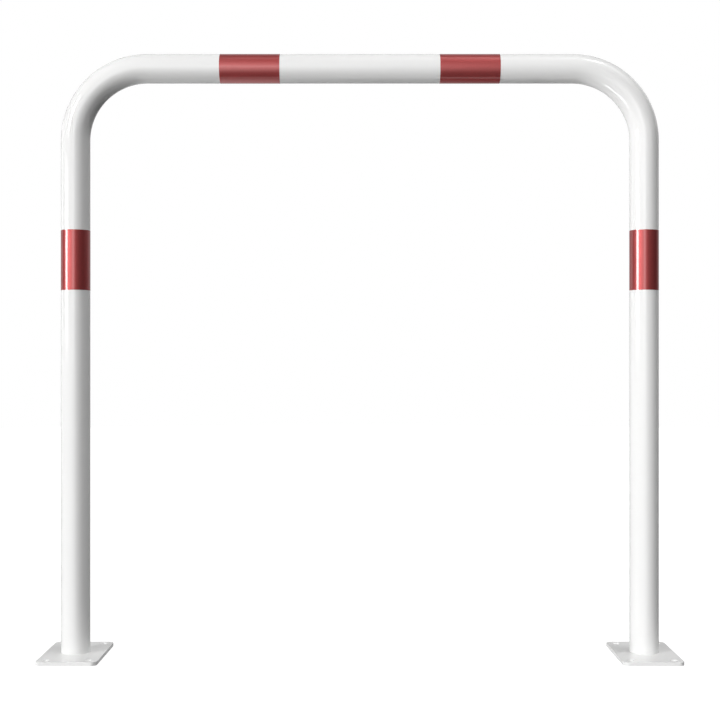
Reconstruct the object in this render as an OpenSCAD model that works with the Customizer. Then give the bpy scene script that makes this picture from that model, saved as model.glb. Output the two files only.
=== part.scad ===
// Hoop barrier: a round steel tube bent in one piece into a square hoop, let into
// two drilled foot plates and welded to them from below, white all over, with four
// bands of red film.
//
// X runs across the hoop, Y through it and Z up. The origin lies on the floor,
// midway between the two legs. All sizes are in millimetres.

/* [Hoop] */
// Width over the outsides of the two legs
hoop_w = 1000; // [800:10:1500]
// Height of the tube, from the top of the foot plates to the top of the bar
hoop_h = 1000; // [600:10:1300]
// Outside diameter of the tube
tube_d = 48.3; // [42.4:0.1:60.3]
// Wall thickness of the tube
tube_wall = 2.6; // [2.6:0.1:5]
// Radius of both bends, to the middle of the tube
bend_r = 120; // [90:5:200]

/* [Foot plates] */
// Width of a plate, across the hoop
plate_w = 100; // [90:1:160]
// Length of a plate, through the hoop
plate_l = 160; // [150:1:240]
// Thickness of a plate
plate_t = 6; // [5:0.5:12]
// Radius of the plate's corners
plate_corner_r = 10; // [2:1:20]
// Diameter of the four fixing holes
hole_d = 12; // [9:0.5:18]
// Distance between the fixing holes, across the hoop
hole_gap_x = 70; // [60:1:80]
// Distance between the fixing holes, through the hoop
hole_gap_y = 130; // [100:1:140]
// Leg length of the weld under each plate, between the plate and the tube's end
weld_leg = 2.5; // [1.5:0.1:2.5]

/* [Red bands] */
// Width of a band, along the tube
band_w = 100; // [50:5:150]
// White tube between the end of a bend and the leg band below it
leg_band_drop = 151; // [20:1:500]
// Distance from the middle of the bar to the middle of each top band
top_band_x = 183.5; // [80:0.5:300]
// Thickness of the film
film_t = 0.25; // [0.1:0.05:0.5]
// Length over which the film's two ends lap, at the back of the tube
film_lap = 12; // [5:1:20]

/* [Hidden] */

LEFT = -1;
RIGHT = 1;
BACK = 90; // bearing of +Y, the side that the laps face

white_coat = [0.93, 0.93, 0.92];
red_film = [0.72, 0.20, 0.20];

tube_r = tube_d / 2;
foot_z = plate_t / 2;                        // foot of the tube, half-way down the plate
leg_x = hoop_w / 2 - tube_r;                 // middle of a leg
bar_z = plate_t + hoop_h - tube_r;           // middle of the bar
bend_x = leg_x - bend_r;                     // where the bar ends and a bend begins
bend_z = bar_z - bend_r;                     // where a leg ends and a bend begins
leg_band_z = bend_z - leg_band_drop - band_w / 2;
lap_angle = film_lap / (tube_r + film_t) * 180 / PI;
weld_crown = 2 * weld_leg;                   // how far behind the seam its arc is struck

$fn = 96;

// Cross section of the tube
module tube_section() {
    difference() {
        circle(r = tube_r);
        circle(r = tube_r - tube_wall);
    }
}

// One leg and the bend that carries it into the bar, on the right-hand side
module leg_and_bend() {
    translate([leg_x, 0, foot_z])
        linear_extrude(height = bend_z - foot_z)
            tube_section();
    translate([bend_x, 0, bend_z])
        rotate([90, 0, 0])
            rotate_extrude(angle = 90)
                translate([bend_r, 0])
                    tube_section();
}

// The whole tube: bar, two bends and two legs, open at both feet
module hoop_tube() {
    color(white_coat) {
        translate([0, 0, bar_z])
            rotate([0, 90, 0])
                linear_extrude(height = 2 * bend_x, center = true)
                    tube_section();
        leg_and_bend();
        mirror([1, 0, 0])
            leg_and_bend();
    }
}

// Outline of a plate: a cross of two rectangles with a disc in each corner
module plate_outline() {
    square([plate_w, plate_l - 2 * plate_corner_r], center = true);
    square([plate_w - 2 * plate_corner_r, plate_l], center = true);
    for (x = [-1, 1], y = [-1, 1])
        translate([x * (plate_w / 2 - plate_corner_r), y * (plate_l / 2 - plate_corner_r)])
            circle(r = plate_corner_r);
}

// A foot plate with its fixing holes and the hole that takes the leg
module foot_plate(side) {
    color(white_coat)
        translate([side * leg_x, 0, 0])
            difference() {
                linear_extrude(height = plate_t)
                    plate_outline();
                for (x = [-1, 1], y = [-1, 1])
                    translate([x * hole_gap_x / 2, y * hole_gap_y / 2, -1])
                        cylinder(h = plate_t + 2, d = hole_d);
                translate([0, 0, -1])
                    cylinder(h = plate_t + 2, d = tube_d);
            }
}

module left_foot_plate() {
    foot_plate(LEFT);
}

module right_foot_plate() {
    foot_plate(RIGHT);
}

// The weld in the corner under the tube's end, inside the plate's hole, with a
// slightly crowned face
module weld_bead(side) {
    color(white_coat)
        translate([side * leg_x, 0, foot_z])
            rotate_extrude()
                intersection() {
                    translate([tube_r - 2 * weld_leg, -2 * weld_leg])
                        square(2 * weld_leg);
                    translate([tube_r + weld_crown, weld_crown])
                        circle(r = norm([weld_crown + weld_leg, weld_crown]));
                }
}

module left_weld_bead() {
    weld_bead(LEFT);
}

module right_weld_bead() {
    weld_bead(RIGHT);
}

// End view of a strip of film wound once round a tube on Z, its ends lapped
module film_wrap() {
    reach = 2 * tube_r;
    difference() {
        union() {
            circle(r = tube_r + film_t);
            intersection() {
                circle(r = tube_r + 2 * film_t);
                polygon([[0, 0], for (end = [-1, 1])
                    reach * [cos(BACK + end * lap_angle / 2), sin(BACK + end * lap_angle / 2)]]);
            }
        }
        circle(r = tube_r);
    }
}

// One band of film, centred on the middle of its length
module film_band() {
    color(red_film)
        linear_extrude(height = band_w, center = true)
            film_wrap();
}

module leg_band(side) {
    translate([side * leg_x, 0, leg_band_z])
        film_band();
}

module top_band(side) {
    translate([side * top_band_x, 0, bar_z])
        rotate([0, 90, 0])
            film_band();
}

module left_leg_band() {
    leg_band(LEFT);
}

module right_leg_band() {
    leg_band(RIGHT);
}

module left_top_band() {
    top_band(LEFT);
}

module right_top_band() {
    top_band(RIGHT);
}

hoop_tube();
left_foot_plate();
right_foot_plate();
left_weld_bead();
right_weld_bead();
left_leg_band();
right_leg_band();
left_top_band();
right_top_band();
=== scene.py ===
import math

import bmesh
import bpy
from mathutils import Matrix, Vector


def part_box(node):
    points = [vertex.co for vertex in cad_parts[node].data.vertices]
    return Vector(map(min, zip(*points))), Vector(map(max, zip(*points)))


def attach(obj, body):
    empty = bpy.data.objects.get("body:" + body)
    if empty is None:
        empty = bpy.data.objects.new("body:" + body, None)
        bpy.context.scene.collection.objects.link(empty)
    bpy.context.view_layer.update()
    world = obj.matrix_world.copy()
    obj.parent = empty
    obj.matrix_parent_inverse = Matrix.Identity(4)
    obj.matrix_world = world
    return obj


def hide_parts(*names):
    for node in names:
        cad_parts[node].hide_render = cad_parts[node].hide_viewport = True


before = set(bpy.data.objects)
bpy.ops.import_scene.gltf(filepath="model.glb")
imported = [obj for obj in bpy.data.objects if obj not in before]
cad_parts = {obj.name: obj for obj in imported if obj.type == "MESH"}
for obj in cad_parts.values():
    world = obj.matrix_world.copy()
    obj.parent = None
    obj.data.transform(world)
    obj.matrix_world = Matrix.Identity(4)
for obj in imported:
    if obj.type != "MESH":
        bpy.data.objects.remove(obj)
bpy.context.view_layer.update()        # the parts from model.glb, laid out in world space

quarterTurn = math.radians(90)
fullTurn = math.radians(360)

# Camera at the photograph's distance and height, looking level along +Y
camera = {
    "distance": 2.2224,     # from the plane of the hoop
    "height": 0.491,
    "lens": 66.36,          # in millimetres, like the sensor's width
    "sensor": 36,
    "shiftX": 0.0002,       # in shares of the frame's width
    "shiftY": 0.0028,
}


def setCamera(spec):
    data = bpy.data.cameras.new("camera")
    data.lens = spec["lens"]
    data.sensor_width = spec["sensor"]
    data.shift_x = spec["shiftX"]
    data.shift_y = spec["shiftY"]
    eye = bpy.data.objects.new("camera", data)
    eye.location = (0, -spec["distance"], spec["height"])
    eye.rotation_euler = (quarterTurn, 0, 0)
    bpy.context.scene.collection.objects.link(eye)
    bpy.context.scene.camera = eye


setCamera(camera)
print("camera placed")


# Shader building: a wrapped socket that takes part in Python sums
class Value:
    def __init__(self, shader, socket):
        self.shader = shader
        self.socket = socket

    def combine(self, operation, first, second):
        return self.shader.node("ShaderNodeMath", {"operation": operation}, {0: first, 1: second})

    def __add__(self, other):
        return self.combine("ADD", self, other)

    def __sub__(self, other):
        return self.combine("SUBTRACT", self, other)

    def __rsub__(self, other):
        return self.combine("SUBTRACT", other, self)

    def __mul__(self, other):
        return self.combine("MULTIPLY", self, other)

    def size(self):
        return self.shader.node("ShaderNodeMath", {"operation": "ABSOLUTE"}, {0: self})

    __radd__ = __add__
    __rmul__ = __mul__


class Shader:
    def __init__(self, name, world=None):
        self.owner = world or bpy.data.materials.new(name)
        self.owner.use_nodes = True
        self.tree = self.owner.node_tree
        self.tree.nodes.clear()

    def node(self, kind, settings=None, inputs=None, output=0):
        made = self.tree.nodes.new(kind)
        for key, value in (settings or {}).items():
            setattr(made, key, value)
        for key, value in (inputs or {}).items():
            if isinstance(value, Value):
                self.tree.links.new(value.socket, made.inputs[key])
            else:
                made.inputs[key].default_value = value
        return Value(self, made.outputs[output]) if made.outputs else None

    def surface(self, value):
        self.node("ShaderNodeOutputMaterial", {}, {"Surface": value})
        return self.owner


# Places of the colour sockets on a Mix node: two inputs and the output
firstColour = 6
secondColour = 7
mixedColour = 2

pureWhite = (1, 1, 1, 1)
noiseMiddle = 0.5           # a noise pattern wanders about this, between 0 and 1


def noise(shader, place, size, detail=2.0):
    return shader.node("ShaderNodeTexNoise", {}, {
        "Vector": place, "Scale": 1 / size, "Detail": detail,
    })


def shadeOf(colour, share):
    return (*[channel * share for channel in colour[:3]], 1)


def mixColours(shader, factor, first, second):
    return shader.node("ShaderNodeMix", {"data_type": "RGBA"}, {
        "Factor": factor, firstColour: first, secondColour: second,
    }, output=mixedColour)


def orangePeel(shader, place, spec):
    return shader.node("ShaderNodeBump", {}, {
        "Height": noise(shader, place, spec["peelSize"]),
        "Strength": 1.0,
        "Distance": spec["peelDepth"],
    })


def unevenRoughness(shader, place, spec):
    pattern = noise(shader, place, spec["hazeSize"], spec["hazeDetail"])
    return spec["roughness"] + spec["haze"] * (pattern - noiseMiddle)


# White powder coat: gloss over a faint orange peel, with a little haze and unevenness
powderCoat = {
    "colour": (0.86, 0.86, 0.855, 1),
    "darkest": 0.975,       # share of the colour left where the coat lies thinnest
    "unevenness": 0.12,     # across one patch of thicker or thinner coat
    "roughness": 0.07,
    "haze": 0.03,           # how far the roughness wanders
    "hazeSize": 0.11,       # across one hazier patch
    "hazeDetail": 3.0,
    "ior": 1.5,
    "peelSize": 0.004,      # across one dimple
    "peelDepth": 0.000008,
}


def makePowderCoat(spec):
    shader = Shader("whitePowderCoat")
    place = shader.node("ShaderNodeTexCoord", output="Object")
    thickness = noise(shader, place, spec["unevenness"])
    thinnest = shadeOf(spec["colour"], spec["darkest"])
    return shader.surface(shader.node("ShaderNodeBsdfPrincipled", {}, {
        "Base Color": mixColours(shader, thickness, thinnest, spec["colour"]),
        "Roughness": unevenRoughness(shader, place, spec),
        "IOR": spec["ior"],
        "Normal": orangePeel(shader, place, spec),
    }))


# Red film: a bright red layer under a clear gloss face, which softens the coat's peel below it
redFilm = {
    "colour": (0.48, 0.086, 0.086, 1),
    "darkest": 0.94,        # share of the colour in the darkest specks; the palest lie as far above 1
    "mottle": 0.0025,       # across one speck of the red layer
    "metallic": 0.82,
    "roughness": 0.5,
    "haze": 0.06,
    "hazeSize": 0.016,
    "hazeDetail": 3.0,
    "faceWeight": 1.0,      # the clear face covers it all
    "faceRoughness": 0.03,
    "peelSize": 0.006,
    "peelDepth": 0.000004,
}


def makeRedFilm(spec):
    shader = Shader("redGlossFilm")
    place = shader.node("ShaderNodeTexCoord", output="Object")
    specks = noise(shader, place, spec["mottle"])
    dark = shadeOf(spec["colour"], spec["darkest"])
    bright = shadeOf(spec["colour"], 2 - spec["darkest"])
    return shader.surface(shader.node("ShaderNodeBsdfPrincipled", {}, {
        "Base Color": mixColours(shader, specks, dark, bright),
        "Metallic": spec["metallic"],
        "Roughness": unevenRoughness(shader, place, spec),
        "Coat Weight": spec["faceWeight"],
        "Coat Roughness": spec["faceRoughness"],
        "Normal": orangePeel(shader, place, spec),
    }))


whiteCoat = makePowderCoat(powderCoat)
redGloss = makeRedFilm(redFilm)
print("finishes made")

sharpFrom = math.radians(40)     # edges that turn by more than this stay sharp


def newPiece(name, mesh, material):
    data = bpy.data.meshes.new(name)
    mesh.to_mesh(data)
    mesh.free()
    piece = bpy.data.objects.new(name, data)
    bpy.context.scene.collection.objects.link(piece)
    data.materials.append(material)
    return piece


def smoothShading(piece):
    piece.data.shade_smooth()
    piece.data.set_sharp_from_angle(angle=sharpFrom)


def rideOnHoop(piece, node):
    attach(piece, "root")
    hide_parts(node)


def middle(node):
    low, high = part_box(node)
    return (low + high) / 2


def pick(items, kind):
    return [item for item in items if isinstance(item, kind)]


# The tube: an outer and an inner ring at the left foot, drawn up the leg, round both bends and down
hoopTube = {
    "bendRadius": 0.120,    # to the middle of the tube
    "wall": 0.0026,
    "sides": 128,
    "bendSteps": 64,
    "junction": 0.004,      # short rings at the ends of a bend keep the straights evenly shaded
}

tubeLow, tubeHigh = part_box("hoop_tube")
legX = middle("right_leg_band").x
barZ = middle("right_top_band").z
tubeRadius = tubeHigh.x - legX
bendX = legX - hoopTube["bendRadius"]
bendZ = barZ - hoopTube["bendRadius"]
footZ = tubeLow.z


def drawRings(mesh, rings, offset):
    drawn = bmesh.ops.extrude_edge_only(mesh, edges=rings)["geom"]
    bmesh.ops.translate(mesh, verts=pick(drawn, bmesh.types.BMVert), vec=offset)
    return pick(drawn, bmesh.types.BMEdge)


def bendRings(mesh, rings, centre, steps):
    points = list({point for edge in rings for point in edge.verts})
    bent = bmesh.ops.spin(
        mesh, geom=points + rings, cent=centre, axis=(0, 1, 0), angle=quarterTurn, steps=steps,
    )["geom_last"]
    return pick(bent, bmesh.types.BMEdge)


def makeHoopTube(spec):
    mesh = bmesh.new()
    foot = Matrix.Translation((-legX, 0, footZ))
    for radius in (tubeRadius, tubeRadius - spec["wall"]):
        bmesh.ops.create_circle(mesh, segments=spec["sides"], radius=radius, matrix=foot)
    leftFoot = list(mesh.edges)
    short = spec["junction"]
    legLength = bendZ - footZ - short
    barLength = 2 * (bendX - short)
    rings = drawRings(mesh, leftFoot, (0, 0, legLength))
    rings = drawRings(mesh, rings, (0, 0, short))
    rings = bendRings(mesh, rings, (-bendX, 0, bendZ), spec["bendSteps"])
    for length in (short, barLength, short):
        rings = drawRings(mesh, rings, (length, 0, 0))
    rings = bendRings(mesh, rings, (bendX, 0, bendZ), spec["bendSteps"])
    rings = drawRings(mesh, rings, (0, 0, -short))
    rightFoot = drawRings(mesh, rings, (0, 0, -legLength))
    for end in (leftFoot, rightFoot):
        bmesh.ops.bridge_loops(mesh, edges=end)
    bmesh.ops.recalc_face_normals(mesh, faces=mesh.faces)
    piece = newPiece("bent_tube", mesh, whiteCoat)
    smoothShading(piece)
    rideOnHoop(piece, "hoop_tube")


makeHoopTube(hoopTube)
print("tube bent")

# Foot plates: a rounded slab, drilled, with softened rims, but sharp where the leg goes in
footPlate = {
    "cornerRadius": 0.010,
    "cornerSteps": 16,
    "holeRadius": 0.006,
    "holeGapX": 0.070,
    "holeGapY": 0.130,
    "holeSides": 64,
    "mergeGap": 0.000001,
    "softEdge": 0.0002,
    "softSteps": 3,
    "rimAngle": 60,         # an edge that turns by more degrees than this is a rim
    "legRim": 1.1,          # rims within this many tube radii of the leg's middle stay sharp
    "flatWeight": 100,      # the larger face sets the shading along an edge
}


def applyModifiers(piece):
    bpy.context.view_layer.update()
    depsgraph = bpy.context.evaluated_depsgraph_get()
    finished = bpy.data.meshes.new_from_object(piece.evaluated_get(depsgraph))
    piece.modifiers.clear()
    piece.data = finished


def bevelEdges(mesh, edges, width, steps):
    bmesh.ops.bevel(
        mesh, geom=edges, offset=width, offset_type="OFFSET", segments=steps,
        profile=0.5, affect="EDGES", material=-1,
    )


def cutSlab(name, centre, size, spec):
    mesh = bmesh.new()
    block = Matrix.Translation(centre) @ Matrix.Diagonal((*size, 1))
    bmesh.ops.create_cube(mesh, size=1, matrix=block)
    upright = [
        edge for edge in mesh.edges
        if abs(edge.verts[0].co.z - edge.verts[1].co.z) > size.z / 2
    ]
    bevelEdges(mesh, upright, spec["cornerRadius"], spec["cornerSteps"])
    return newPiece(name, mesh, whiteCoat)


def drillPlate(plate, centre, size, spec):
    holes = [
        (x * spec["holeGapX"] / 2, y * spec["holeGapY"] / 2, spec["holeRadius"], spec["holeSides"])
        for x in (-1, 1) for y in (-1, 1)
    ]
    holes.append((0, 0, tubeRadius, hoopTube["sides"]))
    drills = bmesh.new()
    length = 2 * size.z              # out through both faces
    for x, y, radius, sides in holes:
        place = Matrix.Translation((centre.x + x, centre.y + y, centre.z))
        bmesh.ops.create_cone(
            drills, cap_ends=True, segments=sides, radius1=radius, radius2=radius,
            depth=length, matrix=place,
        )
    cutter = newPiece("drills", drills, whiteCoat)
    drilled = plate.modifiers.new("drilled", "BOOLEAN")
    drilled.object = cutter
    drilled.solver = "EXACT"
    applyModifiers(plate)
    bpy.data.objects.remove(cutter)


def softenPlate(plate, centre, spec):
    mesh = bmesh.new()
    mesh.from_mesh(plate.data)
    bmesh.ops.remove_doubles(mesh, verts=mesh.verts, dist=spec["mergeGap"])
    rimAngle = math.radians(spec["rimAngle"])
    nearLeg = tubeRadius * spec["legRim"]
    rims = [
        edge for edge in mesh.edges
        if edge.calc_face_angle(0) > rimAngle
        and ((edge.verts[0].co + edge.verts[1].co) / 2 - centre).xy.length > nearLeg
    ]
    bevelEdges(mesh, rims, spec["softEdge"], spec["softSteps"])
    mesh.to_mesh(plate.data)
    mesh.free()
    smoothShading(plate)
    flat = plate.modifiers.new("flatFaces", "WEIGHTED_NORMAL")
    flat.keep_sharp = True
    flat.weight = spec["flatWeight"]
    applyModifiers(plate)


def makeFootPlate(name, node, spec):
    low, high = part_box(node)
    size = high - low
    centre = (low + high) / 2
    plate = cutSlab(name, centre, size, spec)
    drillPlate(plate, centre, size, spec)
    softenPlate(plate, centre, spec)
    rideOnHoop(plate, node)


for side in ("left", "right"):
    makeFootPlate(side + "_drilled_plate", side + "_foot_plate", footPlate)
print("foot plates drilled")

# Welds: a ring in the corner under the tube's end, its face slightly crowned and rippled by the run
weldRing = {
    "crown": 2,             # leg lengths from the seam back to where the arc of its face is struck
    "profileSteps": 8,
    "ripples": 48,          # all round the ring
    "rippleSteps": 8,       # in each ripple
    "rippleDepth": 0.00015,
}


def rippleWeld(mesh, centre, seam, spec):
    for point in mesh.verts:
        out = Vector((point.co.x - centre.x, point.co.y, 0))
        corner = Vector((centre.x, 0, seam.z)) + out.normalized() * tubeRadius
        inwards = corner - point.co
        # The two faces against the tube's end and the plate stay where they are
        if min(inwards.xy.length, abs(inwards.z)) > spec["rippleDepth"]:
            wave = (1 - math.cos(spec["ripples"] * math.atan2(out.y, out.x))) / 2
            point.co += inwards.normalized() * spec["rippleDepth"] * wave


def makeWeldRing(name, node, spec):
    low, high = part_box(node)
    leg = high.z - low.z
    crown = spec["crown"] * leg
    reach = math.hypot(crown + leg, crown)
    seam = Vector(((low.x + high.x) / 2 + tubeRadius, 0, high.z))
    first = math.pi + math.atan2(crown, crown + leg)
    last = math.pi + math.atan2(crown + leg, crown)
    mesh = bmesh.new()
    outline = [mesh.verts.new(seam)]
    for step in range(spec["profileSteps"] + 1):
        angle = first + (last - first) * step / spec["profileSteps"]
        outline.append(mesh.verts.new((
            seam.x + crown + reach * math.cos(angle), 0, seam.z + crown + reach * math.sin(angle),
        )))
    sides = [mesh.edges.new((outline[i - 1], outline[i])) for i in range(len(outline))]
    centre = Vector((seam.x - tubeRadius, 0, 0))
    bmesh.ops.spin(
        mesh, geom=outline + sides, cent=centre, axis=(0, 0, 1), angle=fullTurn,
        steps=spec["ripples"] * spec["rippleSteps"], use_merge=True,
    )
    rippleWeld(mesh, centre, seam, spec)
    bmesh.ops.recalc_face_normals(mesh, faces=mesh.faces)
    ring = newPiece(name, mesh, whiteCoat)
    smoothShading(ring)
    rideOnHoop(ring, node)


for side in ("left", "right"):
    makeWeldRing(side + "_weld_ring", side + "_weld_bead", weldRing)
print("welds run")

# Bands: film wound once round the tube, its ends lapped at the back
filmBand = {
    "film": 0.00025,        # thickness
    "lap": 0.012,
    "sides": 128,
}


# Raises the strip of film at the back, +Y, by one more thickness
def liftLap(mesh, outer, spec):
    lapHalf = spec["lap"] / outer / 2
    lapFaces = [
        face for face in mesh.faces
        if face.normal.y > math.cos(lapHalf)
        and face.calc_center_median().xy.length > tubeRadius + spec["film"] / 2
    ]
    lifted = bmesh.ops.extrude_face_region(mesh, geom=lapFaces)["geom"]
    for point in pick(lifted, bmesh.types.BMVert):
        point.co.xy *= (outer + spec["film"]) / outer
    bmesh.ops.delete(mesh, geom=lapFaces, context="FACES")


def makeBand(name, node, spec):
    low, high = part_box(node)
    size = high - low
    level = size.x > size.z                      # a band on the bar lies along X
    length = size.x if level else size.z
    centre = Vector(((low.x + high.x) / 2, 0, (low.z + high.z) / 2))
    turn = Matrix.Rotation(quarterTurn, 4, "Y") if level else Matrix.Identity(4)
    outer = tubeRadius + spec["film"]
    foot = Matrix.Translation((0, 0, -length / 2))
    mesh = bmesh.new()
    for radius in (tubeRadius, outer):
        bmesh.ops.create_circle(mesh, segments=spec["sides"], radius=radius, matrix=foot)
    rings = list(mesh.edges)
    farRings = drawRings(mesh, rings, (0, 0, length))
    for end in (rings, farRings):
        bmesh.ops.bridge_loops(mesh, edges=end)
    bmesh.ops.recalc_face_normals(mesh, faces=mesh.faces)
    liftLap(mesh, outer, spec)
    bmesh.ops.transform(mesh, matrix=Matrix.Translation(centre) @ turn, verts=mesh.verts)
    bmesh.ops.recalc_face_normals(mesh, faces=mesh.faces)
    band = newPiece(name, mesh, redGloss)
    smoothShading(band)
    rideOnHoop(band, node)


for side in ("left", "right"):
    makeBand(side + "_leg_film", side + "_leg_band", filmBand)
    makeBand(side + "_top_film", side + "_top_band", filmBand)
print("bands wound")


# Floor: there for the camera alone, white with the object's own faint shadow
paleFloor = {
    "radius": 8.0,
    "sides": 96,
    "glow": 0.93,           # its own white, which no shadow falls on
    "catch": 0.25,          # how much studio light it shows on top, and the shadow takes away
}


def makeFloor(spec):
    shader = Shader("paleFloor")
    ray = shader.node("ShaderNodeLightPath", output="Is Camera Ray")
    white = shader.node("ShaderNodeEmission", {}, {"Color": pureWhite, "Strength": spec["glow"]})
    catch = shader.node("ShaderNodeBsdfDiffuse", {}, {"Color": shadeOf(pureWhite, spec["catch"])})
    seen = shader.node("ShaderNodeAddShader", {}, {0: white, 1: catch})
    clear = shader.node("ShaderNodeBsdfTransparent")
    surface = shader.node("ShaderNodeMixShader", {}, {0: ray, 1: clear, 2: seen})
    mesh = bmesh.new()
    bmesh.ops.create_circle(mesh, cap_ends=True, segments=spec["sides"], radius=spec["radius"])
    floor = newPiece("floor", mesh, shader.surface(surface))


# The floor under the holes: a white patch within each plate's outline, which lights the holes' walls
holeFloor = {
    "glow": 1.0,
    "inset": 0.008,         # how much narrower and shorter than the plate
    "drop": 0.0008,         # how far it lies below the plate
}


def makeHoleFloor(name, node, spec):
    low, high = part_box(node)
    size = high - low
    shader = Shader("holeFloor")
    surface = shader.node("ShaderNodeEmission", {}, {"Color": pureWhite, "Strength": spec["glow"]})
    mesh = bmesh.new()
    flat = Matrix.Diagonal((size.x - spec["inset"], size.y - spec["inset"], 1, 1))
    place = Matrix.Translation(((low.x + high.x) / 2, 0, -spec["drop"]))
    bmesh.ops.create_grid(mesh, x_segments=1, y_segments=1, size=1 / 2, matrix=place @ flat)
    newPiece(name, mesh, shader.surface(surface))


# Studio light: soft boxes far off, by bearing from the camera's side (positive to the right) and
# height in degrees. Each fades over its own edge, inside its outline and outside, so a box that is
# narrower than its edges stays below its strength
softBoxes = {
    "key": {"bearing": (-73, -54), "height": (2, 7), "edge": 2, "strength": 20.0},
    "keyHigh": {"bearing": (-53, -46), "height": (13, 26), "edge": 3, "strength": 62.0},
    "lowerLeft": {"bearing": (-67, -61), "height": (-62, -25), "edge": 2, "strength": 18.0},
    "frontStrip": {"bearing": (-10, -5), "height": (-27, 33), "edge": 22, "strength": 3.3},
    "frontLeft": {"bearing": (-50, -10), "height": (-9, 58), "edge": 4, "strength": 0.8},
    "frontSpot": {"bearing": (-13, 2), "height": (-2, 15), "edge": 3, "strength": 1.1},
    "above": {"bearing": (-60, 60), "height": (72, 96), "edge": 20, "strength": 0.8},
    "highRight": {"bearing": (49, 74), "height": (63, 68), "edge": 3, "strength": 20.0},
    "aboveRight": {"bearing": (30, 99), "height": (47, 70), "edge": 32, "strength": 3.8},
    "backRight": {"bearing": (118, 139), "height": (13, 51), "edge": 29, "strength": 2.0},
    "back": {"bearing": (150, 221), "height": (-22, 62), "edge": 29, "strength": 0.6},
    "backLeft": {"bearing": (-126, -115), "height": (-5, 18), "edge": 3, "strength": 1.6},
    "lowerBack": {"bearing": (-176, -136), "height": (-82, -26), "edge": 22, "strength": 1.4},
    "under": {"bearing": (-120, 120), "height": (-88, -78), "edge": 2, "strength": 0.88},
}


def fade(shader, distance, half, edge):
    return shader.node("ShaderNodeMapRange", {"interpolation_type": "SMOOTHSTEP"}, {
        "Value": distance,
        "From Min": half + edge,
        "From Max": half - edge,
        "To Min": 0.0,
        "To Max": 1.0,
    })


def shineBox(shader, bearing, height, box):
    left, right = (math.radians(angle) for angle in box["bearing"])
    low, high = (math.radians(angle) for angle in box["height"])
    edge = math.radians(box["edge"])
    # The short way round from the middle of the box
    aside = shader.node("ShaderNodeMath", {"operation": "WRAP"}, {
        0: bearing - (left + right) / 2, 1: math.pi, 2: -math.pi,
    })
    across = fade(shader, aside.size(), (right - left) / 2, edge)
    up = fade(shader, (height - (low + high) / 2).size(), (high - low) / 2, edge)
    return across * up * box["strength"]


def makeStudioLight(boxes):
    world = bpy.data.worlds.new("studio")
    bpy.context.scene.world = world
    shader = Shader("studio", world)
    towards = shader.node("ShaderNodeTexCoord", output="Generated")
    apart = shader.node("ShaderNodeSeparateXYZ", {}, {0: towards})
    x, y, z = (Value(shader, apart.socket.node.outputs[axis]) for axis in "XYZ")
    bearing = shader.node("ShaderNodeMath", {"operation": "ARCTAN2"}, {0: x, 1: 0 - y})
    height = shader.node("ShaderNodeMath", {"operation": "ARCSINE"}, {0: z})
    light = 0
    for box in boxes.values():
        light = shineBox(shader, bearing, height, box) + light
    lit = shader.node("ShaderNodeBackground", {}, {"Color": pureWhite, "Strength": light})
    white = shader.node("ShaderNodeBackground", {}, {"Color": pureWhite, "Strength": 1.0})
    ray = shader.node("ShaderNodeLightPath", output="Is Camera Ray")
    mixed = shader.node("ShaderNodeMixShader", {}, {0: ray, 1: lit, 2: white})
    shader.node("ShaderNodeOutputWorld", {}, {"Surface": mixed})


makeFloor(paleFloor)
for side in ("left", "right"):
    makeHoleFloor(side + "_hole_floor", side + "_foot_plate", holeFloor)
makeStudioLight(softBoxes)
print("light set")

bpy.context.scene.view_settings.view_transform = "Standard"
